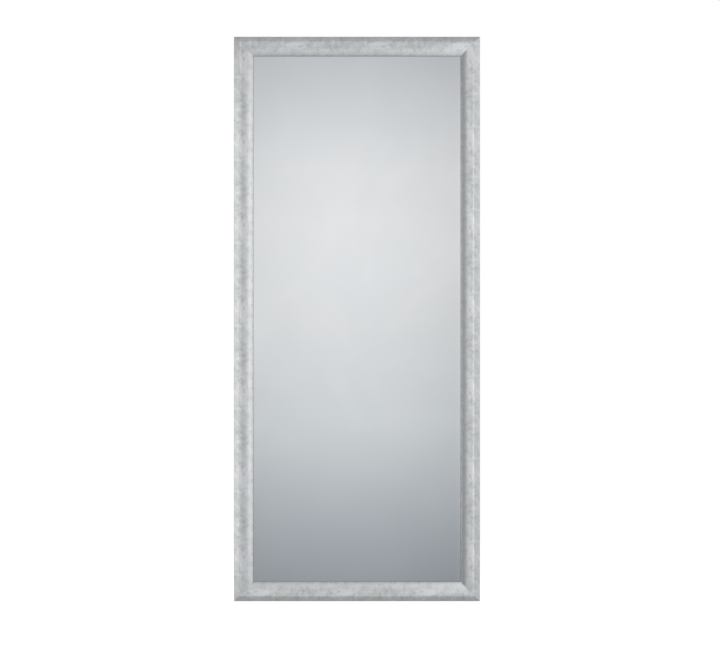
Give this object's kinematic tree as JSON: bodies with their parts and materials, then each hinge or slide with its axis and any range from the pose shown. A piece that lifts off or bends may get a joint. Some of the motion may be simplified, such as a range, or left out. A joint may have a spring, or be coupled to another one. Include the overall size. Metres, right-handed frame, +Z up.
{
  "type": "full-length wall mirror",
  "caption": "Tall framed wall mirror: plain glass in a mitred, rounded moulding with a mottled silver foil finish, and hinged hanging rings on its back.",
  "frame": {"origin": "on the wall plane, midway between the two wall hooks that carry the upright mirror, at the height where the raised rings sit on them", "axes": "+X to the right as seen from the front, +Y into the wall, +Z up; the glass faces -Y"},
  "size_m": [0.695, 0.0305, 1.595],
  "materials": {
    "mdf_core": "bare medium-density fibreboard, fine and matt",
    "silver_foil": "mottled silver foil wrapped round the moulding, satin",
    "dark_steel": "bare pressed steel",
    "silvered_glass": "float glass with a silvered and painted back",
    "foam": "thin white foam sheet",
    "hardboard": "smooth brown hardboard",
    "zinc_plate": "bright zinc-plated steel",
    "zinc_wire": "bright zinc-plated steel wire",
    "soft_rubber": "soft grey rubber"
  },
  "bodies": {
    "framed_mirror": {"top_rail_core": "mdf_core", "bottom_rail_core": "mdf_core", "left_stile_core": "mdf_core", "right_stile_core": "mdf_core", "top_rail_foil": "silver_foil", "bottom_rail_foil": "silver_foil", "left_stile_foil": "silver_foil", "right_stile_foil": "silver_foil", "corner_nails_top_left": "dark_steel", "corner_nails_top_right": "dark_steel", "corner_nails_bottom_left": "dark_steel", "corner_nails_bottom_right": "dark_steel", "mirror_glass": "silvered_glass", "foam_sheet": "foam", "back_board": "hardboard", "fixing_points_top": "dark_steel", "fixing_points_bottom": "dark_steel", "fixing_points_left": "dark_steel", "fixing_points_right": "dark_steel", "hanger_strap_left": "zinc_plate", "hanger_strap_right": "zinc_plate", "hanger_strap_top": "zinc_plate", "hanger_strap_bottom": "zinc_plate", "hanger_screws_left": "zinc_plate", "hanger_screws_right": "zinc_plate", "hanger_screws_top": "zinc_plate", "hanger_screws_bottom": "zinc_plate", "bumper_top_left": "soft_rubber", "bumper_top_right": "soft_rubber", "bumper_bottom_left": "soft_rubber", "bumper_bottom_right": "soft_rubber"},
    "left_ring": {"hanger_ring_left": "zinc_wire"},
    "right_ring": {"hanger_ring_right": "zinc_wire"},
    "top_ring": {"hanger_ring_top": "zinc_wire"},
    "bottom_ring": {"hanger_ring_bottom": "zinc_wire"}
  },
  "joints": [
    {"name": "left_ring_swing", "type": "hinge", "parent": "framed_mirror", "child": "left_ring", "pos_m": [-0.32, -0.0043, -0.0155], "axis": [1, 0, 0], "range_deg": [0, 174]},
    {"name": "right_ring_swing", "type": "hinge", "parent": "framed_mirror", "child": "right_ring", "pos_m": [0.32, -0.0043, -0.0155], "axis": [1, 0, 0], "range_deg": [0, 174]},
    {"name": "top_ring_swing", "type": "hinge", "parent": "framed_mirror", "child": "top_ring", "pos_m": [-0.182, -0.0043, 0.2225], "axis": [0, 0, 1], "range_deg": [0, 174]},
    {"name": "bottom_ring_swing", "type": "hinge", "parent": "framed_mirror", "child": "bottom_ring", "pos_m": [-0.182, -0.0043, -1.3175], "axis": [0, 0, 1], "range_deg": [0, 174]}
  ]
}
